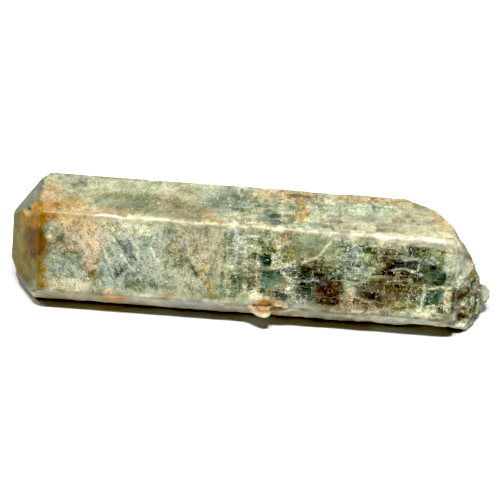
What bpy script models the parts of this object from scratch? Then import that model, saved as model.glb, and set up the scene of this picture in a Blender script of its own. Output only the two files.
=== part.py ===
"""A green apatite crystal: one hexagonal prism with a pyramid at both ends, lying on a prism face.

The axis of the crystal runs along X and Z is up. Every face is a plane, ground off a plain block. The
finished stone is moved so that the origin is at the middle of its footprint, on the surface it rests on.
"""

import math

import bmesh
import bpy
from mathutils import Matrix, Vector, noise

MM = 0.001

# Widths of four prism faces. The other two follow, because neighbouring faces meet at 120 degrees.
FOOT_WIDTH = 6.5 * MM
FRONT_WIDTH = 16.5 * MM
TOP_WIDTH = 12.6 * MM
BACK_FOOT_WIDTH = 13.0 * MM
BACK_WIDTH = FOOT_WIDTH + FRONT_WIDTH - BACK_FOOT_WIDTH
BASE_WIDTH = TOP_WIDTH + FRONT_WIDTH - BACK_FOOT_WIDTH

# The prism faces in the order that they go round the axis, from the front edge of the base: which way
# each looks, as an angle in the YZ plane (90 degrees is up, 180 to the front), and how wide it is.
PRISM = {
    "foot": (210, FOOT_WIDTH),
    "front": (150, FRONT_WIDTH),
    "top": (90, TOP_WIDTH),
    "back": (30, BACK_WIDTH),
    "back_foot": (330, BACK_FOOT_WIDTH),
    "base": (270, BASE_WIDTH),
}

# The mineral's axial ratio c/a sets how steep its pyramid is.
AXIAL_RATIO = 0.734
PYRAMID_TILT = math.atan(AXIAL_RATIO * 2 / math.sqrt(3))

# Where each pyramid face leaves its prism face, and where the blunt tip stands, along X in millimetres.
# The right end grew unevenly: its back face starts far before the others.
LEFT, RIGHT = -1, 1
PYRAMID_START = {
    LEFT: {"foot": -44.3, "front": -43.0, "top": -44.3, "back": -42.7, "back_foot": -44.5, "base": -45.0},
    RIGHT: {"foot": 46.3, "front": 42.1, "top": 41.2, "back": 35.8, "back_foot": 46.0, "base": 47.8},
}
TIP = {LEFT: -49.7, RIGHT: 50.9}

# The broken corner where the top, the back and the right end meet: how far along the back edge of the
# top face it starts, and which way the break looks.
BREAK_START = 31.6
BREAK_FACING = Vector((0.35, 0.70, 0.62))

# Edges are worn round, those of the prism more than those of the pyramids.
PRISM_WEAR = 0.85 * MM
PYRAMID_WEAR = 0.55 * MM
WEAR_STEPS = 3
SHORTEST_WORN_EDGE = 1.2 * MM

# Ledges along the crystal's parting, on the broken foot of the right pyramid's front face, in
# millimetres: how far each riser stands from the start of the face, its height, from where to where it
# runs up the face from the front edge, and how many degrees it leans.
LEDGES = (
    (4.4, 1.15, -1.5, 7.6, 4),
    (5.5, 0.95, -1.5, 6.3, -3),
    (6.6, 0.85, 0.6, 8.8, 6),
)
LEDGE_REACH = 7.0 * MM

# Hollows, nicks and scars, in millimetres. Each is placed on a face: how far along it (from the middle of
# a prism face, or down the slope from the start of a pyramid face), how far round from its first edge and
# how far out of it, then its three radii and how rough it is.
HOLLOWS = {
    "end_recess": ("front", RIGHT, (4.7, 3.0, 0.35), (3.1, 4.4, 1.05), 0.25),
    "upper_pit": ("front", RIGHT, (4.0, 4.1, -0.3), (2.3, 1.9, 1.1), 0.40),
    "lower_pit": ("front", RIGHT, (4.3, -0.4, -0.3), (2.3, 1.5, 1.1), 0.40),
    "side_pit": ("front", RIGHT, (1.8, 9.1, 0.20), (1.4, 1.0, 0.6), 0.45),
    "corner_scar": ("front", LEFT, (5.1, 15.6, 0.5), (2.0, 1.9, 1.1), 0.30),
    "end_notch": ("top", None, (39.9, 9.3, 0.2), (1.0, 1.0, 1.0), 0.30),
    "break_nick": ("top", None, (34.5, 12.6, 0.5), (2.6, 0.9, 1.0), 0.35),
    "ridge_nick": ("top", None, (-4.0, -0.3, 0.35), (1.3, 0.8, 0.8), 0.30),
    "back_edge_nick": ("top", None, (-21.0, 13.0, 0.5), (2.8, 1.0, 1.1), 0.30),
    "foot_nick_left": ("foot", None, (-32.0, 0.0, 0.4), (2.4, 1.2, 1.1), 0.30),
    "foot_nick_middle": ("foot", None, (13.5, 0.0, 0.4), (3.6, 1.3, 1.1), 0.35),
    "foot_nick_right": ("foot", None, (25.5, 0.0, 0.4), (3.0, 1.6, 1.2), 0.35),
    "foot_scallop": ("foot", None, (38.3, -0.4, 0.3), (6.6, 2.7, 1.7), 0.30),
    "front_edge_nick": ("front", None, (19.5, 0.0, 0.5), (3.4, 0.8, 0.9), 0.35),
    "back_nick": ("back", None, (12.0, 10.0, 0.3), (2.6, 1.6, 1.0), 0.35),
    "back_foot_nick": ("back_foot", None, (-14.0, 6.5, 0.5), (3.6, 2.2, 1.1), 0.35),
    "right_back_pit": ("back", RIGHT, (6.0, 6.0, 0.2), (2.0, 1.6, 1.1), 0.35),
}

# The small knob that grew on the front edge: sections through it from its root inside the stone to its
# tip, in millimetres. Each is how far it stands behind the front edge, the middle of the section along
# X and Z, and the section's half width and half height.
KNOB_SECTIONS = (
    (2.60, 2.80, 4.30, 3.70, 1.90),
    (1.30, 2.80, 4.45, 3.30, 1.75),
    (0.35, 2.95, 4.60, 2.85, 1.25),
    (-0.25, 3.25, 4.55, 2.30, 1.05),
    (-0.80, 3.60, 4.40, 1.75, 0.90),
    (-1.20, 3.80, 4.25, 1.15, 0.62),
    (-1.38, 3.85, 4.20, 0.50, 0.28),
)
KNOB_SIDES = 14
KNOB_ROUGHNESS = 0.30

# Lumps that stand out of a face, placed like the hollows: a low swelling beside the knob, and the
# rounded lobe that ends the crystal at the right.
LUMPS = {
    "swelling": ("foot", None, (7.0, 5.7, -0.1), (2.3, 1.5, 0.62), 0.35),
    "tip_lobe": ("front", None, (48.8, 4.1, -9.5), (2.4, 2.3, 1.9), 0.15),
}

STONE_COLOUR = (0.36, 0.42, 0.29, 1.0)
STONE_ROUGHNESS = 0.28


def clear_scene():
    for found in list(bpy.data.objects):
        bpy.data.objects.remove(found)


def facing(name):
    """The direction, across the axis, that a prism face looks."""
    turn = math.radians(PRISM[name][0])
    return Vector((0, math.cos(turn), math.sin(turn)))


def round_way(name):
    """The direction in a prism face that leads round the crystal to the next face."""
    return facing(name).cross(Vector((1, 0, 0)))


def first_edges():
    """A point on the first edge of each prism face, with Y from the front edge and Z from the base."""
    corner = Vector((0, FOOT_WIDTH / 2, 0))
    found = {}
    for name, (_, width) in PRISM.items():
        found[name] = corner.copy()
        corner += round_way(name) * width
    return found


def face_frame(name, end):
    """The axes of a face as columns (along it, round the crystal, out of it), and its zero point."""
    out = facing(name)
    start = first_edges()[name]
    along = Vector((1, 0, 0))
    if end is not None:
        start.x = PYRAMID_START[end][name] * MM
        slope = along * math.sin(PYRAMID_TILT) - out * end * math.cos(PYRAMID_TILT)
        out = along * end * math.cos(PYRAMID_TILT) + out * math.sin(PYRAMID_TILT)
        along = slope * end
    frame = Matrix((along, round_way(name), out)).transposed()
    return frame, start


def grind(stone, point, normal):
    """Takes off all that lies beyond a plane, and closes the stone with a flat face there."""
    everything = stone.verts[:] + stone.edges[:] + stone.faces[:]
    cut = bmesh.ops.bisect_plane(
        stone, geom=everything, dist=1e-7, plane_co=point, plane_no=normal, clear_outer=True
    )
    rim = [part for part in cut["geom_cut"] if isinstance(part, bmesh.types.BMEdge)]
    if rim:
        bmesh.ops.edgeloop_fill(stone, edges=rim)


def rough_block():
    """The plain block that the faces are ground off."""
    stone = bmesh.new()
    bmesh.ops.create_cube(stone, size=1)
    bmesh.ops.scale(stone, vec=(0.13, 0.08, 0.08), verts=stone.verts)
    return stone


def grind_faces(stone):
    """The prism, the pyramid and the blunt tip at each end, and the broken corner."""
    for end in (None, LEFT, RIGHT):
        for name in PRISM:
            frame, start = face_frame(name, end)
            grind(stone, start, frame.col[2])
    for end, tip in TIP.items():
        grind(stone, Vector((tip * MM, 0, 0)), Vector((end, 0, 0)))
    back_edge = first_edges()["back"]
    grind(stone, back_edge + Vector((BREAK_START * MM, 0, 0)), BREAK_FACING.normalized())


def wear_edges(stone):
    """Rounds each edge with a few narrow planes that all touch one arc."""
    worn = []
    for edge in stone.edges:
        if edge.calc_length() < SHORTEST_WORN_EDGE:
            continue
        first, second = (face.normal.copy() for face in edge.link_faces)
        middle = (edge.verts[0].co + edge.verts[1].co) / 2
        on_prism = abs(first.x) < 0.1 and abs(second.x) < 0.1
        worn.append((middle, first, second, PRISM_WEAR if on_prism else PYRAMID_WEAR))
    for middle, first, second, radius in worn:
        half = first.angle(second) / 2
        for step in range(1, WEAR_STEPS + 1):
            share = step / (WEAR_STEPS + 1)
            normal = first.slerp(second, share)
            depth = radius * (math.cos(half - 2 * half * share) / math.cos(half) - 1)
            grind(stone, middle - normal * depth, normal)


def make_object(name, shape):
    """A named object that holds this shape."""
    mesh = bpy.data.meshes.new(name)
    bmesh.ops.recalc_face_normals(shape, faces=shape.faces)
    shape.to_mesh(mesh)
    shape.free()
    made = bpy.data.objects.new(name, mesh)
    bpy.context.scene.collection.objects.link(made)
    return made


def lump(name, face, end, place, radii, roughness):
    """A rough, faceted lump on a face: a sphere pushed in and out by noise, stretched along the face."""
    frame, start = face_frame(face, end)
    shape = bmesh.new()
    bmesh.ops.create_icosphere(shape, subdivisions=2, radius=1)
    seed = Vector(place)
    for vert in shape.verts:
        vert.co *= 1 + roughness * noise.noise(vert.co * 1.7 + seed)
        vert.co = Vector([value * radius * MM for value, radius in zip(vert.co, radii)])
    centre = start + frame @ (seed * MM)
    bmesh.ops.transform(shape, matrix=Matrix.Translation(centre) @ frame.to_4x4(), verts=shape.verts)
    return make_object(name, shape)


def ledge_cutter(name, riser, height, low, high, lean):
    """A block whose corner bites one ledge out of the right pyramid's front face."""
    prism_frame, front_edge = face_frame("front", None)
    shape = bmesh.new()
    bmesh.ops.create_cube(shape, size=1)
    bmesh.ops.scale(shape, vec=(LEDGE_REACH, (high - low) * MM, LEDGE_REACH), verts=shape.verts)
    bmesh.ops.translate(shape, verts=shape.verts, vec=(LEDGE_REACH / 2, 0, LEDGE_REACH / 2))
    depth = riser / math.tan(PYRAMID_TILT) + height
    corner = Vector((PYRAMID_START[RIGHT]["front"] + riser, (low + high) / 2, -depth)) * MM
    leaning = prism_frame @ Matrix.Rotation(math.radians(lean), 3, "Z")
    place = Matrix.Translation(front_edge + prism_frame @ corner)
    bmesh.ops.transform(shape, matrix=place @ leaning.to_4x4(), verts=shape.verts)
    return make_object(name, shape)


def make_knob():
    """Skins the knob's sections, with a little roughness, and closes its root and its tip."""
    shape = bmesh.new()
    rings = []
    for back, middle_x, middle_z, half_width, half_height in KNOB_SECTIONS:
        ring = []
        for side in range(KNOB_SIDES):
            turn = 2 * math.pi * side / KNOB_SIDES
            spot = Vector((math.cos(turn) * half_width, 0, math.sin(turn) * half_height))
            spot *= 1 + KNOB_ROUGHNESS * noise.noise(Vector((math.cos(turn), back, math.sin(turn))) * 1.4)
            ring.append(shape.verts.new((spot + Vector((middle_x, back, middle_z))) * MM))
        rings.append(ring)
    for near, far in zip(rings, rings[1:]):
        for side in range(KNOB_SIDES):
            after = (side + 1) % KNOB_SIDES
            shape.faces.new((near[side], near[after], far[after], far[side]))
    shape.faces.new(rings[0])
    shape.faces.new(rings[-1])
    return make_object("knob", shape)


def combine(stone, other, operation):
    """Joins a helper to the stone, or cuts it out, and hides the helper."""
    step = stone.modifiers.new(other.name, "BOOLEAN")
    step.operation = operation
    step.solver = "EXACT"
    step.object = other
    other.hide_render = True
    other.display_type = "WIRE"


def stone_material():
    material = bpy.data.materials.new("polished_apatite")
    material.use_nodes = True
    shader = material.node_tree.nodes["Principled BSDF"]
    shader.inputs["Base Color"].default_value = STONE_COLOUR
    shader.inputs["Roughness"].default_value = STONE_ROUGHNESS
    shader.inputs["Metallic"].default_value = 0.0
    return material


def apply_modifiers(stone):
    """Replaces the stone's mesh by what its modifiers make of it."""
    graph = bpy.context.evaluated_depsgraph_get()
    finished = bpy.data.meshes.new_from_object(stone.evaluated_get(graph))
    stone.modifiers.clear()
    stone.data = finished


def stand_on_origin(stone):
    """Moves the mesh so that the middle of its footprint is at the origin and its base at Z 0."""
    corners = [vert.co for vert in stone.data.vertices]
    low = Vector([min(corner[axis] for corner in corners) for axis in range(3)])
    high = Vector([max(corner[axis] for corner in corners) for axis in range(3)])
    stone.data.transform(Matrix.Translation((-(low.x + high.x) / 2, -(low.y + high.y) / 2, -low.z)))


def build():
    clear_scene()
    rough = rough_block()
    grind_faces(rough)
    wear_edges(rough)
    stone = make_object("apatite_crystal", rough)
    combine(stone, make_knob(), "UNION")
    for name, bump in LUMPS.items():
        combine(stone, lump(name, *bump), "UNION")
    for number, ledge in enumerate(LEDGES, 1):
        combine(stone, ledge_cutter(f"ledge_{number}", *ledge), "DIFFERENCE")
    for name, hollow in HOLLOWS.items():
        combine(stone, lump(name, *hollow), "DIFFERENCE")
    apply_modifiers(stone)
    stand_on_origin(stone)
    stone.data.materials.clear()
    stone.data.materials.append(stone_material())


build()
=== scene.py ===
"""The looks of a green apatite crystal: cracked, veiled with white and stained by iron.

It lies on a round white table in a white studio, seen as in the photograph.
"""

import math

import bmesh
import bpy
import numpy as np
from mathutils import Matrix, Vector, noise
from mathutils.bvhtree import BVHTree


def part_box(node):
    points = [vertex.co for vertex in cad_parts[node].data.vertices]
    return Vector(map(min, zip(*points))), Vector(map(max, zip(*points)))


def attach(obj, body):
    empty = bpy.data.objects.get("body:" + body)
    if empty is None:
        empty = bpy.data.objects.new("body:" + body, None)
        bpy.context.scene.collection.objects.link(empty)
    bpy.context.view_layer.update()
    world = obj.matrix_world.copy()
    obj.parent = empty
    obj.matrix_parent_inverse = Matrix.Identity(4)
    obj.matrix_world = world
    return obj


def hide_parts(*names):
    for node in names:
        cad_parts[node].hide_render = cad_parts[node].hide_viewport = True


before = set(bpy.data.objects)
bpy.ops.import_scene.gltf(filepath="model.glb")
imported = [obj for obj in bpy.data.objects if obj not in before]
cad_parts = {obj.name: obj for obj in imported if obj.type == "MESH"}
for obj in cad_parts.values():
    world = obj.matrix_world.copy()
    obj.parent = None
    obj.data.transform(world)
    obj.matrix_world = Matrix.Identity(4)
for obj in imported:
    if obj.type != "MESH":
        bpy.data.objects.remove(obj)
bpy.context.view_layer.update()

MM = 0.001

# How fine the skin's mesh is, in millimetres.
VOXEL = 0.315

# How far apart in the noise two seeds are.
SEED_SHIFT = 17.3

# The crystal's design in millimetres, with Y from the front edge and Z from the base: which way each
# prism face looks, as an angle in the YZ plane, and its width, in order round the crystal.
PRISM = {
    "foot": (210, 6.5),
    "front": (150, 16.5),
    "top": (90, 12.6),
    "back": (30, 10.0),
    "back_foot": (330, 13.0),
    "base": (270, 16.1),
}
PYRAMID_TILT = math.radians(40.3)
LEFT, RIGHT = -1, 1
PYRAMID_START = {LEFT: {"front": -43.0, "top": -44.3}, RIGHT: {"front": 42.1, "top": 41.2}}
LEFT_TIP = -49.7
BACK_EDGE = 25.72

# Where the design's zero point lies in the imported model.
box_low, box_high = (Vector(corner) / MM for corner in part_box("apatite_crystal"))
DESIGN_ORIGIN = Vector((box_low.x - LEFT_TIP, box_high.y - BACK_EDGE, 0))

# The middle of the crystal's cross-section, and the radius on which its girth is measured.
AXIS_Y = 12.9
AXIS_Z = 9.96
GIRTH_RADIUS = 13.5

# Stretches in which the stone changes, in millimetres along the crystal: where the clear half starts,
# and where the white fibres grow strong and give out. The upper edge is a stretch up the front face.
CLEAR_HALF = (-6.5, -4.0)
FIBRES_BEGIN = (-45.0, -30.0)
FIBRES_END = (-5.0, -8.0)
UPPER_EDGE = (15.8, 16.8)

# The white fibres: the middle of their fan, along and round the crystal, and their lean in radians, in
# the middle, how much more to the right and to the left, and on the upper edge. The lean grows along
# the two stretches, and the last number makes the fibres thin.
FAN_MIDDLE = (-22, 6)
FIBRE_LEAN = -0.95
LEAN_TO_RIGHT = -0.5
LEAN_TO_LEFT = -0.4
UPPER_LEAN = 0.55
LEANING_RIGHT = (-24, -9)
LEANING_LEFT = (-28, -38)
THREAD_THINNESS = 26

# The relief in millimetres: waves, grain, the drop from one parting block to another, the size of
# those blocks, and the broken ground on the right end with its area, given like a stain's.
WAVES = 0.05
GRAIN = 0.03
BLOCK_DROP = 0.10
BLOCK_SIZE = (2.3, 1.7, 2.3)
BROKEN_GROUND = 0.22
BROKEN_AREA = (5.5, 3.5, 7.5, 6.5)

# The painted parting blocks in millimetres, length and height: coarse ones and fine ones within them,
# and how far the fine ones are shifted. A dot, a painted highlight of a crack or a pit painted dark with
# its shade, fades out over the last stretch.
COARSE_BLOCK = (3.3, 2.1)
FINE_BLOCK = (1.3, 0.8)
FINE_SHIFT = (0.7, 0.4, 0)
DOT_EDGE = (0.10, 0.24)

# How far noise shifts the edges of stains, and those of blocks and cracks, in millimetres.
RAGGED = 1.1
CRISP = 0.22

# How much the stone is strewn everywhere with painted highlights of tiny cracks.
LEAST_PAINTED_GLINTS = 0.25

# The table's radius and the hair's breadth between it and the crystal, in metres, and the lamps: each
# one's place, its width and depth, also in metres, and its power in watts.
TABLE_RADIUS = 0.22
TABLE_GAP = 0.00002
LAMPS = {
    "left_lamp": ((-0.10, -0.10, 0.70), (0.08, 0.06), 6.3),
    "right_lamp": ((0.045, -0.10, 0.70), (0.08, 0.06), 6.3),
    "left_glow": ((-0.125, 0.035, 0.060), (0.02, 0.02), 0.065),
    "right_glow": ((0.125, 0.035, 0.055), (0.02, 0.02), 0.065),
    "soft_box": ((0.0, 0.06, 0.80), (0.7, 0.10), 0.4),
}

# How strong the white studio is as light on the stone, and as the camera sees it.
STUDIO_LIGHT = 0.008
STUDIO_WHITE = 1.1

# The camera, fitted to the photograph, in millimetres.
CAMERA_AIM = Vector((0, 13.1, 9.2))
CAMERA_ELEVATION = math.radians(42)
CAMERA_ROLL = math.radians(4.35)
CAMERA_DISTANCE = 350
CAMERA_LENS = 120
CAMERA_SENSOR = 36

# Colours as the faces show them, in 8-bit sRGB.
SHADES = {
    "amber": (198, 158, 80),
    "bark": (126, 96, 54),
    "black_green": (28, 34, 20),
    "blue_grey": (134, 148, 134),
    "bottle": (56, 76, 56),
    "brown": (46, 28, 12),
    "cream": (226, 220, 184),
    "deep_teal": (44, 72, 58),
    "grey": (156, 154, 138),
    "ice": (208, 218, 194),
    "khaki": (158, 149, 118),
    "leaf": (114, 123, 80),
    "lilac": (158, 152, 146),
    "mint": (182, 194, 166),
    "moss": (100, 110, 76),
    "mustard": (150, 126, 62),
    "ochre": (178, 126, 46),
    "olive": (122, 118, 66),
    "olive_brown": (98, 86, 50),
    "pale": (204, 204, 170),
    "pale_grey": (196, 198, 184),
    "peach": (214, 184, 140),
    "rose": (188, 165, 130),
    "rust": (148, 94, 36),
    "sage": (150, 155, 124),
    "slate": (96, 102, 86),
    "snow": (226, 224, 216),
    "stone_grey": (166, 160, 140),
    "straw": (196, 188, 150),
    "tan": (192, 168, 122),
    "teal": (104, 132, 110),
    "umber": (92, 62, 26),
}

# The darkest light that the finished picture shows as black.
BLACK = (0.040, 0.046, 0.054)

# Colours of the shader, in linear light: the ends between which the stone's hue wavers, what its seams
# and fibres take on, the painted highlights of tiny cracks, and the dark painted into each pit for the
# shade in it.
COOL_HUE = (0.94, 1.0, 1.03, 1)
WARM_HUE = (1.08, 1.0, 0.84, 1)
SEAM_COLOUR = (0.52, 0.54, 0.42, 1)
FIBRE_COLOUR = (0.76, 0.79, 0.66, 1)
PAINTED_GLINT_COLOUR = (0.70, 0.70, 0.56, 1)
PIT_SHADE_COLOUR = (0.03, 0.03, 0.015, 1)

# What lies under all the paint: a shade, how bright a white stone would look and the mirrored light.
GROUND = ("sage", 1.9, 0.0)

# Places to paint: the prism face that each follows, the end whose pyramid face it is or 0 for the prism
# itself, how deep the paint reaches in millimetres, how ragged its edges are, how bright a white stone
# would look there, and how much light its polish mirrors. Both lights are taken out of the colours.
PLACES = {
    "front": ("front", 0, 3.0, 1.0, 1.86, 0.015),
    "top": ("top", 0, 3.0, 1.0, 2.60, 0.0),
    # The foot is lit mostly by light thrown up from the table, so its paint comes out more than twice as
    # pale as the front's for one shade: painted light, for the glow of light carried through the stone.
    "foot": ("foot", 0, 1.3, 0.8, 0.85, 0.01),
    "knob": ("foot", 0, 3.0, 0.3, 0.80, 0.0),
    "knob_root": ("foot", 0, 1.5, 0.3, 2.10, 0.0),
    "left_top": ("top", LEFT, 0.9, 0.6, 2.10, 0.03),
    "left_end": ("front", LEFT, 1.0, 0.8, 2.00, 0.04),
    "right_end": ("front", RIGHT, 3.0, 0.5, 2.00, 0.01),
    # Paint in the shaded floors of the right end's hollows takes a low light, so it comes out paler than
    # the paint around it and lifts their shade: painted light.
    "right_hollow": ("front", RIGHT, 3.0, 0.3, 0.70, 0.0),
    "right_top": ("top", RIGHT, 0.8, 0.3, 2.00, 0.0),
    "back": ("back", 0, 3.0, 1.0, 1.90, 0.0),
    "back_foot": ("back_foot", 0, 3.0, 1.0, 1.20, 0.0),
}

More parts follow.
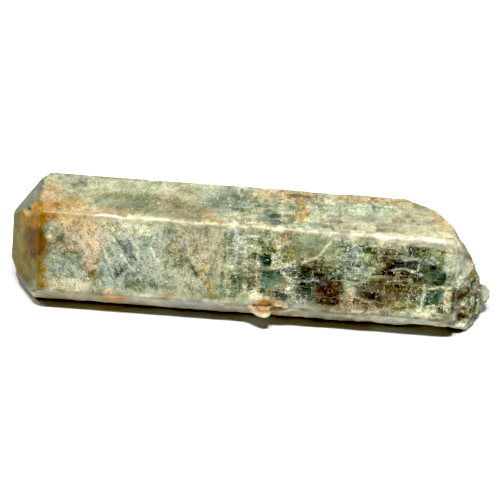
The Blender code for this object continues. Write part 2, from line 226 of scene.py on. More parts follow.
# Stains and veils, painted one over the other. Each is where it lies on its face, along and up in
# millimetres, its half length and half height, its shade and its strength.
STAINS = {
    "front": (
        (-33.0, 6.0, 8.0, 5.0, "blue_grey", 0.6),
        (-24.0, 8.0, 9.0, 6.0, "blue_grey", 0.8),
        (-12.0, 8.5, 8.0, 4.0, "straw", 0.40),
        (-35.0, 11.5, 5.5, 3.2, "rose", 0.9),
        (-34.5, 15.0, 8.0, 1.9, "tan", 0.9),
        (-38.5, 15.6, 2.6, 1.1, "amber", 0.7),
        (-26.0, 14.6, 6.0, 1.9, "pale", 0.8),
        (-37.0, 1.3, 5.5, 1.9, "straw", 0.9),
        (-32.0, 6.9, 1.9, 3.4, "rose", 0.8),
        (-31.3, 3.7, 0.9, 1.5, "olive", 0.9),
        (-42.8, 4.0, 1.2, 3.4, "amber", 0.95),
        (41.6, 14.4, 1.8, 2.2, "cream", 0.7),
        (-42.3, 1.4, 1.2, 1.0, "ochre", 0.5),
        (-43.4, 9.5, 2.0, 2.4, "bark", 0.95),
        (-42.4, 7.5, 1.4, 1.8, "bark", 0.9),
        (-41.2, 13.3, 2.3, 1.9, "grey", 0.8),
        (-41.2, 11.6, 0.9, 0.5, "cream", 0.9),
        (-41.6, 14.8, 0.7, 0.5, "cream", 0.8),
        (-38.4, 11.6, 1.8, 1.2, "moss", 0.7),
        (-44.5, 15.3, 3.4, 2.2, "ochre", 1.0),
        (-42.0, 14.9, 1.6, 1.0, "rust", 0.6),
        (-26.8, 5.2, 1.0, 1.6, "slate", 0.7),
        (-20.0, 3.0, 2.3, 1.0, "moss", 0.9),
        (-23.5, 2.2, 1.7, 0.9, "moss", 0.7),
        (-28.8, 0.7, 1.2, 0.7, "peach", 0.9),
        (-16.3, 1.1, 1.2, 0.9, "ochre", 0.6),
        (-14.3, 9.0, 1.4, 3.0, "moss", 0.3),
        (-7.2, 3.6, 1.2, 1.4, "tan", 0.6),
        (-6.8, 1.3, 1.6, 1.2, "olive", 0.7),
        (-11.0, 12.8, 5.0, 3.0, "khaki", 0.8),
        (-17.0, 6.0, 1.6, 4.4, "sage", 0.6),
        (-9.6, 7.6, 1.2, 4.0, "tan", 0.45),
        (-3.0, 15.2, 2.3, 1.3, "pale_grey", 0.9),
        (-2.6, 13.3, 1.8, 0.8, "blue_grey", 0.9),
        (-4.4, 13.4, 0.5, 1.0, "moss", 0.9),
        (-2.4, 10.0, 2.6, 2.6, "mint", 0.5),
        (-2.8, 4.6, 2.4, 3.0, "leaf", 0.85),
        (1.6, 3.6, 1.1, 3.6, "pale", 0.65),
        (0.0, 3.0, 6.0, 3.4, "mint", 0.3),
        (1.6, 8.6, 0.7, 0.6, "cream", 0.9),
        (3.3, 12.5, 2.2, 1.8, "leaf", 0.6),
        (6.4, 14.6, 1.8, 1.2, "rose", 0.8),
        (8.5, 11.7, 1.8, 1.5, "olive", 0.9),
        (8.5, 8.7, 1.8, 1.6, "grey", 0.6),
        (12.5, 13.7, 4.4, 2.5, "leaf", 0.7),
        (12.6, 8.8, 3.4, 2.2, "moss", 0.8),
        (14.5, 6.0, 4.4, 4.2, "black_green", 0.95),
        (12.3, 7.5, 2.3, 2.4, "black_green", 0.8),
        (16.5, 3.8, 3.0, 2.9, "brown", 1.0),
        (12.0, 3.3, 1.9, 1.3, "bottle", 0.8),
        (14.5, 9.6, 2.6, 1.8, "olive_brown", 0.85),
        (17.5, 9.3, 1.9, 2.2, "moss", 0.8),
        (9.9, 1.6, 1.6, 1.5, "pale_grey", 0.8),
        (17.0, 0.8, 3.2, 0.6, "tan", 0.6),
        (21.6, 10.6, 3.4, 3.4, "blue_grey", 0.8),
        (18.3, 14.0, 1.7, 0.9, "teal", 0.4),
        (24.8, 12.0, 1.8, 1.8, "leaf", 0.8),
        (28.0, 13.8, 3.4, 1.3, "olive_brown", 0.7),
        (22.0, 2.4, 3.4, 2.4, "rose", 0.8),
        (26.0, 1.1, 3.5, 0.9, "rose", 0.7),
        (27.5, 5.8, 3.6, 2.6, "olive_brown", 0.95),
        (24.5, 4.2, 2.6, 1.2, "brown", 0.95),
        (28.0, 3.2, 2.2, 1.2, "brown", 0.8),
        (31.0, 4.2, 2.6, 2.6, "olive_brown", 0.9),
        (31.5, 1.9, 2.2, 0.9, "olive", 0.8),
        (28.6, 10.2, 2.6, 2.4, "olive_brown", 0.9),
        (35.0, 4.0, 1.6, 2.2, "khaki", 0.8),
        (21.2, 9.0, 2.4, 2.2, "mint", 0.4),
        (36.0, 8.0, 5.0, 5.5, "moss", 0.9),
        (35.0, 8.0, 6.0, 4.5, "black_green", 0.25),
        (33.0, 7.2, 4.0, 2.6, "olive_brown", 0.8),
        (35.4, 10.3, 3.4, 2.4, "bottle", 0.6),
        (34.2, 10.4, 0.7, 1.4, "pale_grey", 0.8),
        (36.5, 1.1, 4.2, 0.8, "pale", 0.8),
        (40.6, 11.5, 1.2, 3.4, "mint", 0.6),
        # The last three run along the top ridge: painted highlights, over a milky worn band on its right
        # half.
        (28.0, 16.1, 15.0, 1.0, "cream", 1.0),
        (37.0, 16.1, 5.0, 0.8, "snow", 0.6),
        (-8.0, 16.4, 22.0, 0.5, "cream", 0.6),
    ),
    "top": (
        (-42.0, 5.0, 3.2, 4.4, "peach", 0.9),
        (-41.5, 1.6, 3.4, 1.7, "ochre", 1.0),
        (-36.5, 2.4, 3.8, 2.2, "amber", 0.75),
        (-40.6, 2.4, 1.6, 1.2, "ochre", 0.7),
        (-37.5, 11.5, 2.4, 1.5, "grey", 0.8),
        (-35.0, 6.5, 5.0, 2.5, "straw", 0.7),
        (-24.0, 4.6, 9.0, 3.0, "moss", 0.6),
        (-27.0, 6.4, 3.4, 1.6, "olive", 0.45),
        (-18.0, 3.4, 3.0, 1.5, "moss", 0.55),
        (-17.5, 8.6, 3.0, 1.8, "straw", 0.5),
        (-33.0, 1.2, 10.0, 1.4, "tan", 0.8),
        (-36.5, 9.4, 1.4, 1.2, "moss", 0.7),
        (-27.0, 9.8, 6.0, 2.4, "pale", 0.5),
        (-14.0, 5.0, 7.0, 5.0, "khaki", 0.85),
        (-12.0, 9.8, 7.0, 2.6, "pale", 0.7),
        (-13.0, 3.8, 5.0, 2.4, "olive", 0.35),
        (-8.0, 1.5, 2.4, 1.2, "tan", 0.9),
        (-5.5, 8.0, 5.0, 4.4, "blue_grey", 0.8),
        (-3.0, 8.8, 2.4, 1.0, "moss", 0.8),
        (-3.2, 5.6, 1.0, 0.6, "moss", 0.8),
        (-1.0, 1.6, 3.2, 1.6, "pale", 0.9),
        (4.2, 2.6, 2.0, 2.4, "blue_grey", 0.9),
        (4.4, 3.6, 1.7, 1.0, "deep_teal", 0.8),
        (6.0, 10.6, 6.8, 1.9, "tan", 0.85),
        (4.5, 7.2, 4.5, 1.4, "sage", 0.6),
        (10.3, 6.0, 1.4, 3.6, "amber", 0.9),
        (8.0, 4.0, 1.4, 1.2, "olive", 0.8),
        (12.0, 1.3, 4.2, 1.4, "mint", 0.9),
        (28.0, 5.0, 16.0, 6.5, "pale", 0.9),
        (22.0, 8.0, 9.0, 2.6, "mint", 0.7),
        (28.0, 11.4, 13.0, 1.3, "tan", 0.9),
        (24.5, 5.2, 2.8, 1.3, "grey", 0.8),
        (27.0, 2.4, 2.2, 1.5, "khaki", 0.9),
        (30.5, 5.0, 0.8, 1.4, "peach", 0.9),
        (34.0, 3.4, 3.6, 2.6, "cream", 0.8),
        (30.0, 0.5, 12.0, 0.9, "cream", 0.8),
        (39.6, 6.5, 3.6, 5.0, "straw", 0.95),
        (39.8, 7.5, 2.4, 3.4, "tan", 0.7),
        (36.0, 6.2, 1.6, 0.9, "grey", 0.8),
    ),
    "foot": (
        (-2.0, 2.9, 90.0, 3.3, "stone_grey", 1.0),
        (2.0, 2.9, 90.0, 3.3, "stone_grey", 1.0),
        (-10.0, 3.2, 7.0, 3.4, "lilac", 0.8),
        (35.0, 2.8, 8.0, 3.2, "pale_grey", 0.8),
        (-36.0, 3.5, 7.0, 3.0, "khaki", 0.5),
        (-27.5, 4.0, 2.6, 2.2, "ochre", 0.8),
        (22.0, 6.3, 14.0, 0.8, "slate", 0.7),
        (21.0, 2.2, 6.0, 1.6, "khaki", 0.7),
        (6.7, 5.2, 1.9, 1.3, "ochre", 0.9),
        (8.8, 5.0, 1.4, 1.2, "pale", 0.8),
        # A pale band along the ground edge: painted light, the glow of light carried through the stone.
        (0.0, 0.9, 48.0, 1.2, "pale_grey", 0.7),
    ),
    "knob": (
        (3.4, 5.4, 2.2, 2.4, "pale_grey", 1.0),
    ),
    "knob_root": (
        (4.4, 6.7, 3.2, 1.4, "ochre", 1.0),
        # Rust on the root's left, where the lamps strike it, and tan on its right, in its own shade:
        # painted shade and painted light that even out how it is lit, over its ochre stain.
        (2.8, 6.7, 1.7, 1.3, "rust", 0.6),
        (6.3, 6.7, 1.5, 1.3, "tan", 0.7),
    ),
    "left_top": (
        (4.0, 8.0, 8.0, 6.5, "slate", 0.9),
    ),
    "left_end": (
        (5.0, 8.0, 8.0, 10.0, "olive", 1.0),
        (5.0, 8.0, 6.0, 9.0, "mustard", 0.7),
        (3.4, 11.6, 3.0, 2.2, "rust", 0.5),
        (1.6, 9.3, 3.2, 3.6, "umber", 1.0),
        (1.4, 10.0, 2.4, 2.6, "rust", 0.45),
        (2.2, 14.9, 4.0, 2.4, "ochre", 1.0),
        (2.0, 16.3, 2.4, 0.9, "amber", 0.9),
        (4.9, 15.6, 2.0, 1.2, "peach", 0.9),
        (3.6, 2.8, 2.6, 2.6, "moss", 0.8),
        (8.6, 8.5, 1.2, 5.0, "leaf", 0.6),
        (4.8, 9.4, 1.6, 2.8, "olive_brown", 0.7),
    ),
    "right_end": (
        (2.4, 12.4, 4.2, 4.2, "pale", 0.9),
        (0.4, 15.2, 2.6, 1.8, "cream", 0.8),
        (2.4, 11.6, 3.4, 3.2, "ice", 0.9),
        (5.0, 12.4, 0.8, 2.4, "pale", 0.8),
        (4.4, 11.2, 1.2, 1.0, "peach", 0.6),
        (8.6, 5.4, 3.8, 5.2, "leaf", 0.9),
        (7.0, 8.6, 1.9, 1.3, "olive", 0.9),
        (7.0, 8.9, 1.4, 0.9, "mustard", 0.8),
        (3.6, 7.5, 1.9, 0.9, "pale_grey", 1.0),
        (3.9, 5.0, 2.9, 2.0, "brown", 0.8),
        (3.9, 5.0, 2.2, 1.5, "umber", 0.9),
        (3.0, 3.0, 1.7, 0.9, "grey", 0.95),
        (3.0, 3.0, 1.7, 0.9, "slate", 0.5),
        (4.0, 0.4, 2.5, 1.7, "olive_brown", 1.0),
        (8.2, 5.0, 0.6, 4.0, "grey", 0.8),
        (9.2, 4.8, 0.4, 4.0, "umber", 0.7),
        (10.1, 4.8, 0.5, 3.6, "grey", 0.8),
        (10.9, 4.8, 0.4, 3.2, "umber", 0.7),
        (12.8, 4.3, 1.5, 3.0, "pale_grey", 0.9),
        (3.0, -0.8, 4.0, 0.9, "lilac", 0.9),
        (2.4, -0.7, 3.0, 0.9, "slate", 0.5),
    ),
    # Painted light: paler paint that lifts the shade on the floors of the hollows.
    "right_hollow": (
        (3.7, 5.2, 1.9, 1.0, "olive_brown", 0.7),
        (4.2, 0.7, 1.8, 0.8, "olive_brown", 0.7),
    ),
    "right_top": (
        (6.0, 4.0, 6.0, 5.0, "bark", 0.8),
    ),
    "back": (
        (-36.0, 5.0, 7.0, 4.0, "straw", 0.7),
        (-43.0, 7.0, 2.0, 3.0, "ochre", 0.7),
        (-22.0, 6.0, 8.0, 4.0, "blue_grey", 0.7),
        (-8.0, 3.5, 5.0, 3.0, "moss", 0.8),
        (3.0, 6.0, 3.0, 3.0, "pale", 0.7),
        (14.0, 4.0, 5.0, 3.0, "bottle", 0.8),
        (18.0, 6.5, 2.5, 2.0, "umber", 0.8),
        (27.0, 5.0, 4.0, 4.0, "olive_brown", 0.7),
    ),
    "back_foot": (
        (-38.0, 8.0, 6.0, 4.0, "khaki", 0.7),
        (-26.0, 5.0, 7.0, 4.0, "moss", 0.8),
        (-12.0, 8.0, 6.0, 4.0, "straw", 0.6),
        (0.0, 5.0, 4.0, 4.0, "umber", 0.7),
        (10.0, 8.0, 6.0, 4.0, "sage", 0.8),
        (22.0, 5.0, 5.0, 3.0, "bottle", 0.8),
        (33.0, 8.0, 6.0, 3.0, "ochre", 0.5),
        (42.0, 6.0, 5.0, 4.0, "grey", 0.7),
    ),
}

# Sharp-edged blocks between parting planes, where the stone is clear enough to look into, and one painted
# highlight, given like the stains.
WINDOWS = {
    "front": (
        (-2.2, 4.6, 1.2, 2.2, "moss", 0.7),
        (0.3, 5.0, 1.0, 2.6, "sage", 0.6),
        (-2.3, 13.6, 1.4, 1.4, "mint", 0.6),
        (0.2, 13.2, 0.9, 1.3, "leaf", 0.5),
        (-2.4, 9.6, 1.3, 1.1, "sage", 0.6),
        (0.0, 9.9, 0.9, 0.8, "olive", 0.5),
        (-4.6, 6.0, 0.8, 2.4, "pale", 0.4),
        (2.2, 10.2, 1.2, 0.6, "bottle", 0.85),
        (3.5, 9.7, 1.05, 1.25, "deep_teal", 1.0),
        (4.7, 6.0, 2.0, 2.1, "teal", 1.0),
        (4.0, 7.1, 1.0, 0.8, "deep_teal", 0.7),
        (5.6, 4.9, 1.0, 0.8, "sage", 0.6),
        (6.4, 7.3, 0.7, 0.5, "bottle", 0.9),
        (5.6, 2.9, 1.9, 0.7, "olive_brown", 0.8),
        (7.1, 2.6, 1.3, 1.1, "black_green", 0.85),
        (15.0, 3.4, 0.9, 0.8, "umber", 0.6),
        (18.0, 5.2, 0.8, 1.0, "umber", 0.6),
        (16.8, 2.0, 1.0, 0.6, "olive_brown", 0.6),
        (13.6, 6.4, 1.1, 0.9, "black_green", 0.9),
        (25.4, 4.4, 1.2, 0.7, "brown", 0.9),
        (28.6, 5.6, 1.0, 0.8, "umber", 0.6),
        (26.2, 6.6, 0.9, 0.7, "black_green", 0.6),
        (11.6, 14.2, 3.4, 1.3, "mint", 0.3),
        (30.4, 11.1, 1.4, 1.0, "black_green", 1.0),
        (33.2, 11.0, 1.3, 0.9, "black_green", 0.95),
        (28.8, 9.2, 1.2, 0.9, "brown", 1.0),
        (31.8, 8.9, 0.8, 1.0, "brown", 1.0),
        (34.6, 9.0, 1.3, 1.0, "black_green", 0.8),
        (33.4, 14.0, 1.3, 0.9, "bottle", 0.9),
        (35.9, 14.0, 1.5, 0.9, "moss", 0.9),
        (38.3, 13.3, 1.5, 1.2, "leaf", 0.95),
        (37.5, 11.2, 0.6, 0.9, "black_green", 0.95),
        (38.9, 8.7, 1.6, 1.5, "bottle", 1.0),
        (36.5, 8.1, 0.9, 1.2, "moss", 0.9),
        (37.8, 4.2, 2.0, 1.5, "teal", 0.95),
        (38.2, 5.4, 1.9, 0.8, "deep_teal", 0.8),
        (39.9, 2.2, 0.6, 0.8, "moss", 0.9),
        # A pale bar along the edge of the right end's pyramid: a painted highlight of that rounded edge.
        (41.1, 3.8, 0.7, 3.0, "straw", 0.95),
        (42.4, 4.3, 0.5, 2.6, "olive_brown", 0.95),
        (41.4, 9.6, 0.8, 0.7, "moss", 0.8),
    ),
}

# Cracks and edges of partings, and painted highlights along the top ridge: the shade, half the width, the
# strength and the places it runs through.
CRACKS = {
    "front": (
        ("cream", 0.22, 0.8, ((17.5, 15.7), (15.2, 13.0), (13.8, 11.5), (12.7, 10.7), (10.7, 10.1))),
        # These five run along the top ridge and are painted highlights.
        ("snow", 0.20, 0.9, ((-32.0, 16.3), (-26.0, 16.4))),
        ("cream", 0.16, 0.7, ((-25.5, 16.4), (-17.0, 16.5))),
        ("cream", 0.16, 0.7, ((-12.5, 16.4), (-7.0, 16.5))),
        ("cream", 0.18, 0.8, ((-3.0, 16.4), (13.5, 16.5))),
        ("snow", 0.30, 0.6, ((16.5, 16.3), (27.0, 16.4), (39.5, 16.3))),
        ("pale_grey", 0.18, 0.8, ((-2.8, 14.1), (2.2, 14.7))),
        ("pale", 0.20, 0.8, ((-3.4, 6.4), (0.4, 7.4), (2.7, 8.0), (6.1, 8.1))),
        ("pale", 0.20, 0.7, ((-0.9, 13.4), (-0.8, 10.0), (-0.4, 7.6), (-0.5, 3.0))),
        ("pale_grey", 0.20, 0.7, ((-2.9, 14.4), (-2.6, 11.0), (-3.0, 8.8))),
        ("pale", 0.18, 0.6, ((-4.6, 11.9), (-1.5, 12.2), (1.8, 12.3))),
        ("pale", 0.18, 0.6, ((-4.2, 9.0), (-0.8, 9.5))),
        ("cream", 0.28, 0.8, ((1.6, 10.5), (1.3, 7.9), (2.2, 4.7), (2.2, 1.4))),
        ("pale", 0.22, 0.8, ((6.5, 8.1), (8.0, 6.6), (8.4, 1.9))),
        ("pale", 0.18, 0.7, ((5.1, 8.7), (4.7, 11.2))),
        ("pale_grey", 0.16, 0.7, ((8.1, 5.6), (11.9, 5.9), (14.6, 6.4))),
        ("pale_grey", 0.14, 0.6, ((6.9, 3.4), (10.3, 3.7))),
        ("pale_grey", 0.17, 0.7, ((31.4, 11.9), (36.3, 12.5), (37.8, 11.6))),
        ("pale_grey", 0.18, 0.7, ((29.3, 10.0), (32.1, 10.0), (35.7, 9.1))),
        ("pale_grey", 0.17, 0.6, ((29.5, 7.4), (33.6, 7.6))),
        ("cream", 0.20, 0.8, ((37.0, 6.5), (40.3, 6.8))),
        ("cream", 0.18, 0.7, ((37.2, 2.7), (40.6, 2.9))),
        ("pale", 0.18, 0.7, ((40.6, 10.4), (40.8, 7.1))),
        ("cream", 0.22, 0.7, ((35.9, 7.0), (36.0, 1.7))),
        ("pale_grey", 0.20, 0.8, ((37.2, 12.9), (38.4, 11.9))),
        ("cream", 0.30, 0.7, ((17.5, 0.3), (25.4, 0.4))),
        ("black_green", 0.16, 0.9, ((1.4, 0.2), (4.0, 0.35), (7.6, 0.2))),
        ("moss", 0.24, 0.8, ((-5.2, 15.0), (-5.0, 11.0), (-5.4, 7.0), (-5.0, 3.5), (-5.6, 0.5))),
        ("cream", 0.20, 0.7, ((-28.3, 12.6), (-26.5, 9.3), (-25.2, 7.3), (-22.8, 5.1), (-21.8, 3.5))),
        ("cream", 0.22, 0.7, ((-30.1, 11.1), (-29.4, 9.0), (-28.4, 7.0))),
        ("cream", 0.20, 0.7, ((-24.6, 12.5), (-23.1, 10.2), (-22.8, 8.6))),
        ("pale", 0.20, 0.7, ((-20.4, 11.1), (-19.7, 9.6), (-18.4, 7.8))),
        ("black_green", 0.24, 0.8, ((-26.8, 11.3), (-25.3, 9.3))),
        ("black_green", 0.26, 0.8, ((-24.2, 9.0), (-23.0, 8.3))),
        ("black_green", 0.26, 0.8, ((-22.1, 8.7), (-21.1, 7.6))),
        ("black_green", 0.30, 0.9, ((-27.9, 6.4), (-27.0, 5.7), (-26.3, 4.4))),
        ("black_green", 0.26, 0.9, ((-27.2, 4.9), (-26.6, 3.9), (-26.1, 5.2))),
        ("bottle", 0.34, 0.8, ((-12.8, 8.9), (-11.3, 6.7), (-10.5, 5.4))),
    ),
}

# Where the painted highlights of tiny cracks are strewn thicker, given like the stains but without a shade.
PAINTED_GLINT_ZONES = {
    "front": (
        (2.0, 8.0, 6.0, 6.0, 0.8),
        (13.0, 8.0, 4.0, 3.0, 0.6),
        (31.0, 9.0, 4.0, 3.0, 0.7),
        (36.0, 4.0, 4.0, 4.0, 0.9),
        (-41.5, 12.5, 2.5, 2.0, 0.9),
        (9.5, 1.5, 3.0, 2.0, 0.9),
    ),
    "top": (
        (-15.0, 8.0, 14.0, 4.0, 0.5),
        (24.0, 8.0, 9.0, 3.0, 0.6),
    ),
}

# Where the stone is even and smooth, given like the painted highlights of tiny cracks.
CALM = {
    "front": (
        (12.5, 13.6, 4.6, 2.6, 0.8),
        (4.7, 6.0, 2.2, 2.3, 0.7),
        (-3.0, 7.0, 5.0, 8.0, 0.3),
        (16.5, 3.8, 3.4, 3.2, 0.5),
        (26.0, 4.8, 5.0, 3.0, 0.4),
        (28.0, 16.1, 16.0, 1.2, 0.85),
        (-10.0, 16.4, 34.0, 0.9, 0.7),
        (38.0, 8.0, 3.0, 6.0, 0.5),
        (31.0, 11.0, 3.0, 1.4, 0.6),
    ),
    "top": (
        (0.0, 6.3, 60.0, 8.0, 0.45),
        (30.0, 4.0, 15.0, 5.0, 0.75),
        (36.0, 9.0, 9.0, 5.0, 0.75),
        (0.0, 0.2, 60.0, 0.8, 0.7),
    ),
    "foot": (
        (0.0, 3.2, 54.0, 5.0, 0.85),
    ),
    "knob": (
        (3.4, 5.4, 2.6, 2.6, 0.8),
    ),
    "left_end": (
        (6.0, 8.0, 9.0, 12.0, 0.75),
    ),
    "left_top": (
        (5.0, 6.0, 9.0, 9.0, 0.6),
    ),
    "right_end": (
        (2.0, 12.6, 4.0, 4.0, 0.8),
        (12.8, 4.3, 2.0, 3.0, 0.8),
    ),
}


def facing(name):
    """The direction, across the axis, that a prism face looks."""
    turn = math.radians(PRISM[name][0])
    return Vector((0, math.cos(turn), math.sin(turn)))


def round_way(name):
    """The direction in a prism face that leads round the crystal to the next face."""
    return facing(name).cross(Vector((1, 0, 0)))


def first_edge(name):
    """A point on the first edge of a prism face."""
    corner = Vector((0, PRISM["foot"][1] / 2, 0))
    for face, (_, width) in PRISM.items():
        if face == name:
            break
        corner += round_way(face) * width
    return corner


def face_frame(place):
    """The axes of a place (along it, round the crystal, out of it) and its zero point."""
    name, end = PLACES[place][:2]
    out = facing(name)
    along = Vector((1, 0, 0))
    start = first_edge(name)
    if end:
        start.x = PYRAMID_START[end][name]
        slope = along * end * math.sin(PYRAMID_TILT) - out * math.cos(PYRAMID_TILT)
        out = along * end * math.cos(PYRAMID_TILT) + out * math.sin(PYRAMID_TILT)
        along = slope
    return np.array([along, round_way(name), out]), np.array(start)


def on_face(points, place):
    """The points in a face's own frame: along it, up it and out of it."""
    axes, start = face_frame(place)
    return (points - start) @ axes.T


def rough(points, scale, seed):
    """Smooth noise between -1 and 1 at each point, with features about scale millimetres across."""
    moved = points / scale + seed * SEED_SHIFT
    return np.array([noise.noise(spot) for spot in moved.tolist()])


def rough_many(points, scale, seed, octaves):
    """Noise of several sizes, each half as large and half as strong as the one before."""
    total = np.zeros(len(points))
    for octave in range(octaves):
        total += rough(points, scale / 2**octave, seed + octave) / 2**octave
    return total


def jitter(points, scale, seeds, octaves):
    """Noise in all three directions at each point."""
    return np.column_stack([rough_many(points, scale, seed, octaves) for seed in seeds])


def smooth(low, high, values):
    """Rises smoothly from 0 at low to 1 at high."""
    share = np.clip((values - low) / (high - low), 0, 1)
    return share * share * (3 - 2 * share)


def patch(spots, area, depth, power, soft):
    """How much each spot lies within one patch of a face: 1 inside, 0 outside, with a soft edge."""
    along, up, half_along, half_up = area
    reach = np.abs((spots[:, 0] - along) / half_along) ** power
    reach += np.abs((spots[:, 1] - up) / half_up) ** power
    reach += np.abs(spots[:, 2] / depth) ** power
    return smooth(1 + soft, 1 - soft, reach ** (1 / power))


def nearness(spots, line, half_width):
    """How much each spot lies on a line through places on its face: 1 on it, 0 away from it."""
    closest = np.full(len(spots), np.inf)
    for start, end in zip(line[:-1], line[1:]):
        step = np.array(end) - np.array(start)
        share = np.clip(((spots[:, :2] - start) @ step) / (step @ step), 0, 1)
        away = spots[:, :2] - start - share[:, None] * step
        closest = np.minimum(closest, np.hypot(away[:, 0], away[:, 1]))
    return smooth(half_width * 1.6, half_width * 0.5, closest) * smooth(1.5, 1.0, np.abs(spots[:, 2]))


def zones(points, table, base):
    """How much of something there is at each point: the most that any patch of its table gives."""
    amount = np.full(len(points), base)
    for place, patches in table.items():
        spots = on_face(points, place)
        for *area, strength in patches:
            amount = np.maximum(amount, strength * patch(spots, area, depth=3.0, power=2.0, soft=0.4))
    return amount


def remeshed_skin():
    """An evenly meshed copy of the solid, laid back onto the solid's own faces, with their normals."""
    solid = bpy.data.objects["apatite_crystal"]
    shape = bmesh.new()
    shape.from_mesh(solid.data)
    bmesh.ops.remove_doubles(shape, verts=shape.verts, dist=1e-6)
    surface = BVHTree.FromBMesh(shape)
    mesh = bpy.data.meshes.new("crystal_skin")
    shape.to_mesh(mesh)
    shape.free()
    skin = bpy.data.objects.new("crystal_skin", mesh)
    bpy.context.scene.collection.objects.link(skin)
    remesh = skin.modifiers.new("even_mesh", "REMESH")
    remesh.mode = "VOXEL"
    remesh.voxel_size = VOXEL * MM
    graph = bpy.context.evaluated_depsgraph_get()
    skin.data = bpy.data.meshes.new_from_object(skin.evaluated_get(graph))
    skin.modifiers.clear()
    normals = []
    for vert in skin.data.vertices:
        place, normal, _, _ = surface.find_nearest(vert.co)
        vert.co = place
        normals.append(normal)
    skin.data.name = "crystal_skin"
    return skin, np.array(normals)


def mesh_points(skin):
    """The skin's points in design millimetres."""
    flat = np.zeros(len(skin.data.vertices) * 3)
    skin.data.vertices.foreach_get("co", flat)
    return flat.reshape(-1, 3) / MM - np.array(DESIGN_ORIGIN)


def linear(shade):
    """A shade in linear light, by the curve of sRGB."""
    share = np.array(SHADES[shade]) / 255
    return np.where(share <= 0.04045, share / 12.92, ((share + 0.055) / 1.055) ** 2.4)


def stone_colour(shade, light, mirrored):
    """The stone's own colour that looks like a shade in a certain light, with some light mirrored."""
    black = np.array(BLACK)
    return np.maximum(linear(shade) * (1 - black) + black - mirrored, 0.004) / light


def mottle(points, seed):
    """Patchiness for a stain: mostly whole, with gaps."""
    return np.clip(1.15 + 0.9 * rough_many(points, 2.2, seed, 4), 0, 1)


def paint(points):
    """The stone's own colour at each point, in linear light."""
    ragged = RAGGED * jitter(points, 3.2, (1, 7, 13), 5)
    crisp = CRISP * jitter(points, 1.6, (21, 24, 27), 2)
    gaps = [mottle(points, seed) for seed in (61, 66, 71)]
    colour = np.tile(stone_colour(*GROUND), (len(points), 1))

    def cover(place, shade, share):
        colour[:] += share[:, None] * (stone_colour(shade, *PLACES[place][4:]) - colour)

    for place, patches in STAINS.items():
        depth, raggedness = PLACES[place][2:4]
        spots = on_face(points + ragged * raggedness, place)
        for count, (*area, shade, strength) in enumerate(patches):
            share = strength * patch(spots, area, depth, power=2.0, soft=0.35)
            cover(place, shade, share * gaps[count % len(gaps)])
    for place, patches in WINDOWS.items():
        spots = on_face(points + crisp, place)
        for *area, shade, strength in patches:
            cover(place, shade, strength * patch(spots, area, depth=1.5, power=5.0, soft=0.16))
    for place, lines in CRACKS.items():
        spots = on_face(points + crisp + ragged * 0.35, place)
        for count, (shade, half_width, strength, line) in enumerate(lines):
            share = strength * nearness(spots, line, half_width)
            cover(place, shade, share * gaps[count % len(gaps)])
    return np.clip(colour, 0.002, 0.9)


def girth(points):
    """How far round the crystal each point lies, in millimetres."""
    return np.arctan2(points[:, 2] - AXIS_Z, AXIS_Y - points[:, 1]) * GIRTH_RADIUS


def parting_place(points):
    """How far each point lies along and round the crystal, or on its right end across and up it."""
    at_end = points[:, 0] > PYRAMID_START[RIGHT]["front"]
    run = np.where(at_end, points[:, 1], points[:, 0])
    return run, np.where(at_end, points[:, 2], girth(points))


def wander(points, seed):
    """How far the white fibres stray from straight lines, in millimetres."""
    return 1.8 * rough(points, 8.0, seed) + 0.7 * rough(points, 3.0, seed + 2)


def flow(points):
    """How far each point lies across and along the white fibres."""
    x = points[:, 0]
    upper = smooth(*UPPER_EDGE, on_face(points, "front")[:, 1])
    lean = FIBRE_LEAN + LEAN_TO_RIGHT * smooth(*LEANING_RIGHT, x) + LEAN_TO_LEFT * smooth(*LEANING_LEFT, x)
    lean += upper * (UPPER_LEAN - lean)
    run = x - FAN_MIDDLE[0] + wander(points, 81)
    rise = girth(points) - FAN_MIDDLE[1] + wander(points, 82)
    across = run * np.sin(lean) - rise * np.cos(lean)
    along = run * np.cos(lean) + rise * np.sin(lean)
    return across, along


def silkiness(points):
    """How strongly the white fibres show at each point: most in the middle of the left half's front."""
    upper = smooth(*UPPER_EDGE, on_face(points, "front")[:, 1])
    return smooth(*FIBRES_END, points[:, 0]) * smooth(*FIBRES_BEGIN, points[:, 0]) * (1 - 0.6 * upper)


def weather(skin, points, normals):
    """Moves the points by the stone's relief: waves, grain, parting steps and broken ground."""
    clear = smooth(*CLEAR_HALF, points[:, 0])
    broken = patch(on_face(points, "right_end"), BROKEN_AREA, depth=4.0, power=2.0, soft=0.3)
    cells = on_face(points, "front") / np.array(BLOCK_SIZE) + 0.25 * jitter(points, 3.0, (41, 42, 43), 1)
    steps = np.array([noise.cell(spot) for spot in cells.tolist()])
    height = WAVES * rough(points, 7.0, 31) + GRAIN * rough_many(points, 2.4, 33, 3)
    height -= BLOCK_DROP * clear * steps
    height += BROKEN_GROUND * broken * rough_many(points, 1.5, 51, 3)
    moved = points + normals * height[:, None]
    moved[:, 2] = np.maximum(moved[:, 2], 0)
    skin.data.vertices.foreach_set("co", ((moved + np.array(DESIGN_ORIGIN)) * MM).ravel())
    skin.data.update()


def set_number(skin, name, values):
    """Keeps one number for each point of the skin."""
    layer = skin.data.attributes.new(name, "FLOAT", "POINT")
    layer.data.foreach_set("value", values.astype(np.float32))


def set_colour(skin, name, colours):
    """Keeps one colour for each point of the skin."""
    layer = skin.data.attributes.new(name, "FLOAT_COLOR", "POINT")
    rows = np.column_stack([colours, np.ones(len(colours))])
    layer.data.foreach_set("color", rows.astype(np.float32).ravel())


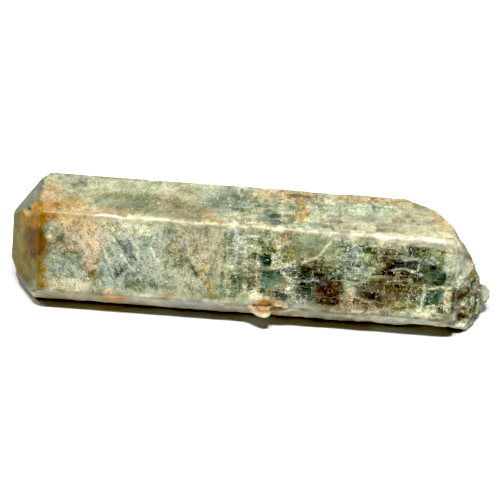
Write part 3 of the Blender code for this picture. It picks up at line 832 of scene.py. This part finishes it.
class Value:
    """A number, vector or colour of the shader. Arithmetic on numbers adds Math nodes."""

    def __init__(self, recipe, socket):
        self.recipe = recipe
        self.socket = socket

    def maths(self, operation, first, second=0.0):
        return self.recipe.add("ShaderNodeMath", {"operation": operation}, {0: first, 1: second})

    def __add__(self, other):
        return self.maths("ADD", self, other)

    def __sub__(self, other):
        return self.maths("SUBTRACT", self, other)

    def __rsub__(self, other):
        return self.maths("SUBTRACT", other, self)

    def __mul__(self, other):
        return self.maths("MULTIPLY", self, other)

    def __abs__(self):
        return self.maths("ABSOLUTE", self)

    def clamped(self):
        return self.recipe.add("ShaderNodeClamp", {}, {0: self})

    __radd__ = __add__
    __rmul__ = __mul__


class Recipe:
    """The nodes of a material or of the world, which lead to its own shader."""

    def __init__(self, owner, shader):
        owner.use_nodes = True
        self.owner = owner
        self.tree = owner.node_tree
        self.shader = self.tree.nodes[shader]

    def add(self, kind, settings, inputs, output=0):
        """Adds a node, first set and then wired, and gives one of its outputs."""
        made = self.tree.nodes.new(kind)
        for name, value in settings.items():
            setattr(made, name, value)
        for key, value in inputs.items():
            self.feed(made.inputs[key], value)
        return Value(self, made.outputs[output])

    def feed(self, socket, value):
        """Links a value of the shader to a socket, or sets the socket to a plain one."""
        if isinstance(value, Value):
            self.tree.links.new(value.socket, socket)
        else:
            socket.default_value = value

    def finish(self, values):
        """Links or sets the sockets of the shader itself, and gives the finished material or world."""
        for name, value in values.items():
            self.feed(self.shader.inputs[name], value)
        return self.owner

    def kept(self, name, output=2):
        """A number, or with output 0 a colour, kept on the mesh."""
        return self.add("ShaderNodeAttribute", {"attribute_name": name}, {}, output)

    def point(self, first, second, third):
        """A vector of three numbers."""
        return self.add("ShaderNodeCombineXYZ", {}, {0: first, 1: second, 2: third})

    def red(self, colour):
        """The red of a colour, which is the tone of a grey one."""
        return self.add("ShaderNodeSeparateColor", {}, {0: colour})

    def vector(self, operation, first, second):
        return self.add("ShaderNodeVectorMath", {"operation": operation}, {0: first, 1: second})

    def scaled(self, vector, amount):
        return self.add("ShaderNodeVectorMath", {"operation": "SCALE"}, {0: vector, 3: amount})

    def mix(self, share, first, second, blend="MIX"):
        settings = {"data_type": "RGBA", "blend_type": blend}
        return self.add("ShaderNodeMix", settings, {0: share, 6: first, 7: second}, 2)

    def step(self, value, low, high):
        """Rises smoothly from 0 at low to 1 at high."""
        inputs = {0: value, 1: low, 2: high, 3: 0.0, 4: 1.0}
        return self.add("ShaderNodeMapRange", {"interpolation_type": "SMOOTHSTEP"}, inputs)

    def noise(self, spot, scale, detail, roughness, output=0):
        """Noise between 0 and 1, or with output 1 three noises in one colour."""
        inputs = {"Vector": spot, "Scale": scale, "Detail": detail, "Roughness": roughness}
        return self.add("ShaderNodeTexNoise", {}, inputs, output)

    def waver(self, spot, scale, detail, roughness):
        """A rough shift in all directions, between -0.5 and 0.5."""
        return self.vector("SUBTRACT", self.noise(spot, scale, detail, roughness, 1), (0.5, 0.5, 0.5))

    def dapple(self, value, softness):
        """Turns noise into light and dark patches, between -0.5 and 0.5."""
        return self.step(value, 0.5 - softness, 0.5 + softness) - 0.5

    def threads(self, spot, detail, roughness):
        """Thin bright lines, where noise passes through its middle."""
        off_middle = abs(self.noise(spot, 1.0, detail, roughness) - 0.5)
        return self.step(1 - off_middle * THREAD_THINNESS, 0.0, 1.0)

    def cells(self, spot, distance, output=0):
        """How far the nearest of many strewn places is, or with output 1 that place's own colour."""
        inputs = {"Vector": spot, "Scale": 1.0, "Randomness": 1.0}
        return self.add("ShaderNodeTexVoronoi", {"distance": distance}, inputs, output)

    def blocks(self, spot, length, height):
        """Rows of blocks: the tone of each, and the seams between them."""
        ends = {"Color1": (0, 0, 0, 1), "Color2": (1, 1, 1, 1), "Mortar": (0.5, 0.5, 0.5, 1)}
        sizes = {"Brick Width": length, "Row Height": height, "Mortar Size": 0.07, "Mortar Smooth": 0.6}
        inputs = {"Vector": spot, "Scale": 1.0, **ends, **sizes}
        settings = {"offset": 0.4, "squash": 0.7, "squash_frequency": 3}
        made = self.add("ShaderNodeTexBrick", settings, inputs)
        return self.red(made), Value(self, made.socket.node.outputs[1])


def parting_blocks(stone, spot, jolt):
    """The blocks between parting planes along and round the crystal: tones and seams, coarse and fine."""
    wall = stone.point(stone.kept("run"), stone.kept("girth"), 0.0)
    bend = stone.waver(spot, 0.35, 3.0, 0.6)
    wall = stone.vector("ADD", wall, stone.vector("ADD", stone.scaled(bend, 2.4), stone.scaled(jolt, 0.9)))
    tone, seam = stone.blocks(wall, *COARSE_BLOCK)
    fine_tone, fine_seam = stone.blocks(stone.vector("ADD", wall, FINE_SHIFT), *FINE_BLOCK)
    return tone, seam, fine_tone, fine_seam


def white_fibres(stone, across, along):
    """Long white feathers, and shorter threads that cross them."""
    feathers = stone.threads(stone.point(across * 0.6, along * 0.16, 3.0), 4.0, 0.62)
    crossing = stone.point(across * 1.1 + along * 0.5, along * 0.3 - across * 0.3, 7.0)
    return feathers * 1.2 + stone.threads(crossing, 3.0, 0.60) * 0.5


def painted_glints(stone, spot, jolt, chance):
    """Painted highlights: tiny cracks that catch the light, as pale dots in the colour. Where the chance is
    greater, more of them do.
    """
    dust = stone.vector("ADD", stone.vector("MULTIPLY", spot, (1.5, 1.8, 1.6)), stone.scaled(jolt, 2.2))
    dot = stone.cells(dust, "CHEBYCHEV")
    lot = stone.red(stone.cells(dust, "CHEBYCHEV", 1)) + chance
    return (1 - stone.step(dot, *DOT_EDGE)) * stone.step(lot, 1.0, 1.08)


def apatite():
    """Sage stone, painted by zone, with parting blocks, seams, white fibres, grain, painted highlights of
    cracks and hollows painted dark.
    """
    stone = Recipe(bpy.data.materials.new("cracked_apatite"), "Principled BSDF")
    spot = stone.scaled(stone.add("ShaderNodeTexCoord", {}, {}, "Object"), 1 / MM)
    tint = stone.kept("tint", 0)
    clear = stone.kept("clear")
    fibrous = stone.kept("fibrous")
    lively = 1 - stone.kept("calm")
    across = stone.kept("across")
    along = stone.kept("along")

    cloud = stone.noise(spot, 0.22, 4.0, 0.6)
    mottling = stone.noise(spot, 0.8, 4.0, 0.65)
    speckle = stone.noise(spot, 3.2, 3.0, 0.7)
    broken = stone.noise(spot, 0.5, 4.0, 0.7)
    streak = stone.noise(stone.point(across * 2.8, along * 0.9, 0.0), 1.0, 3.0, 0.65)
    jolt = stone.waver(spot, 1.3, 2.0, 0.6)

    tone, seam, fine_tone, fine_seam = parting_blocks(stone, spot, jolt)
    veins = seam * stone.step(broken, 0.44, 0.56)
    hairs = fine_seam * stone.step(mottling, 0.50, 0.62)
    fibres = white_fibres(stone, across, along) * fibrous * stone.step(cloud, 0.40, 0.56)
    grain = speckle + (streak - speckle) * fibrous * 0.2
    painted_glint = painted_glints(stone, spot, jolt, stone.kept("painted_glint_chance") * 0.5 + (seam + fine_seam) * clear * 0.25)
    # Small hollows in the stone, painted near black for the shade inside them and dented in the bump.
    pit = stone.cells(stone.scaled(spot, 1.1), "EUCLIDEAN")
    shaded_pits = (1 - stone.step(pit, *DOT_EDGE)) * stone.step(broken, 0.50, 0.60)

    # The painted tint grows lighter and darker by block, cloud, mottling and grain, and a little warmer.
    block_light = (tone - 0.5) * (0.4 + lively * 0.5) + (fine_tone - 0.5) * (0.3 + lively) * 0.7
    light = 1 + block_light * clear
    light = light * (1 + stone.dapple(cloud, 0.14) * 0.4)
    light = light * (1 + stone.dapple(mottling, 0.12) * lively * 0.7)
    light = light * (1 + stone.dapple(grain, 0.14) * (0.2 + lively) * 0.55)
    light = light * (1 + fibrous * 0.18)
    warmth = 0.5 + stone.dapple(stone.noise(spot, 0.6, 4.0, 0.65), 0.12) * (0.45 + lively * 0.55)
    hue = stone.mix(warmth, COOL_HUE, WARM_HUE)
    colour = stone.scaled(stone.mix(1.0, tint, hue, "MULTIPLY"), light)

    # Over it lie milky seams, white fibres, painted highlights of tiny cracks, and small hollows painted
    # dark for the shade in them.
    milky = stone.scaled(stone.mix(0.14, tint, SEAM_COLOUR), 1.9)
    colour = stone.mix(((veins + hairs * 0.7) * clear * (0.1 + lively)).clamped(), colour, milky)
    white = stone.mix(0.25, tint, FIBRE_COLOUR)
    colour = stone.mix((fibres * 0.9 * (0.1 + lively)).clamped(), colour, white)
    colour = stone.mix((painted_glint * lively * 0.9).clamped(), colour, PAINTED_GLINT_COLOUR)
    colour = stone.mix((shaded_pits * 0.7).clamped(), colour, PIT_SHADE_COLOUR)

    relief = grain * 0.6 + mottling * 0.5 - veins * 0.4 - hairs * 0.3 + fine_tone * clear * 0.4 - shaded_pits * 0.8
    bump = stone.add("ShaderNodeBump", {}, {"Strength": 0.5, "Distance": 0.25 * MM, "Height": relief})
    return stone.finish({
        "Base Color": colour,
        "Roughness": 0.24 + grain * 0.30 + veins * 0.10,
        "Normal": bump,
        "IOR": 1.63,
        "Specular IOR Level": 0.12,
        "Coat Weight": 0.03,
        "Coat Roughness": 0.12,
        "Subsurface Weight": 0.1,
        "Subsurface Radius": (1.0, 1.1, 0.8),
        "Subsurface Scale": 0.8 * MM,
    })


def white_board():
    """The table's even, matt finish."""
    board = Recipe(bpy.data.materials.new("white_board"), "Principled BSDF")
    return board.finish({"Base Color": (0.5, 0.5, 0.5, 1), "Roughness": 0.9})


def make_crystal():
    """The crystal as it is seen, in place of the plain solid."""
    skin, normals = remeshed_skin()
    points = mesh_points(skin)
    set_colour(skin, "tint", paint(points))
    numbers = {
        "clear": smooth(*CLEAR_HALF, points[:, 0]),
        "fibrous": silkiness(points),
        "painted_glint_chance": zones(points, PAINTED_GLINT_ZONES, LEAST_PAINTED_GLINTS),
        "calm": zones(points, CALM, 0.0),
    }
    numbers["run"], numbers["girth"] = parting_place(points)
    numbers["across"], numbers["along"] = flow(points)
    for name, values in numbers.items():
        set_number(skin, name, values)
    weather(skin, points, normals)
    skin.data.materials.clear()
    skin.data.materials.append(apatite())
    skin.data.shade_smooth()
    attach(skin, "root")
    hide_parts("apatite_crystal")


def make_table():
    """The round white table. Past its edge the studio is as white."""
    shape = bmesh.new()
    bmesh.ops.create_circle(shape, cap_ends=True, segments=64, radius=TABLE_RADIUS)
    mesh = bpy.data.meshes.new("white_table")
    shape.to_mesh(mesh)
    shape.free()
    table = bpy.data.objects.new("white_table", mesh)
    bpy.context.scene.collection.objects.link(table)
    table.location.z = -TABLE_GAP
    mesh.materials.append(white_board())


def make_lamps():
    """The lamps over the table and a small one past each end, all turned to the crystal."""
    for name, (place, size, power) in LAMPS.items():
        lamp = bpy.data.lights.new(name, "AREA")
        lamp.shape = "RECTANGLE"
        lamp.size, lamp.size_y = size
        lamp.energy = power
        holder = bpy.data.objects.new(name, lamp)
        bpy.context.scene.collection.objects.link(holder)
        holder.location = place
        holder.visible_camera = False
        holder.rotation_euler = (-Vector(place)).to_track_quat("-Z", "Y").to_euler()


def make_studio():
    """White all round for the camera, which lights the stone hardly at all."""
    studio = Recipe(bpy.data.worlds.new("studio"), "Background")
    seen = studio.add("ShaderNodeLightPath", {}, {}, "Is Camera Ray")
    ends = {"Value": seen, "To Min": STUDIO_LIGHT, "To Max": STUDIO_WHITE}
    strength = studio.add("ShaderNodeMapRange", {}, ends)
    bpy.context.scene.world = studio.finish({"Color": (1, 1, 1, 1), "Strength": strength})


def set_exposure():
    """Shows plain colours, with the darkest light as black."""
    finish = bpy.context.scene.view_settings
    finish.view_transform = "Standard"
    finish.use_curve_mapping = True
    finish.curve_mapping.black_level = BLACK
    finish.curve_mapping.update()


def make_camera():
    """The camera of the photograph: a long lens, looking down at the crystal and turned a little."""
    back = Vector((0, -math.cos(CAMERA_ELEVATION), math.sin(CAMERA_ELEVATION)))
    across = Vector((1, 0, 0))
    upward = back.cross(across)
    right = across * math.cos(CAMERA_ROLL) + upward * math.sin(CAMERA_ROLL)
    up = upward * math.cos(CAMERA_ROLL) - across * math.sin(CAMERA_ROLL)
    lens = bpy.data.cameras.new("photo_camera")
    lens.lens = CAMERA_LENS
    lens.sensor_width = CAMERA_SENSOR
    lens.clip_start = 10 * MM
    camera = bpy.data.objects.new("photo_camera", lens)
    bpy.context.scene.collection.objects.link(camera)
    pose = Matrix((right, up, back)).transposed().to_4x4()
    pose.translation = (CAMERA_AIM + DESIGN_ORIGIN + back * CAMERA_DISTANCE) * MM
    camera.matrix_world = pose
    bpy.context.scene.camera = camera


make_camera()
set_exposure()
make_lamps()
make_studio()
make_table()
make_crystal()
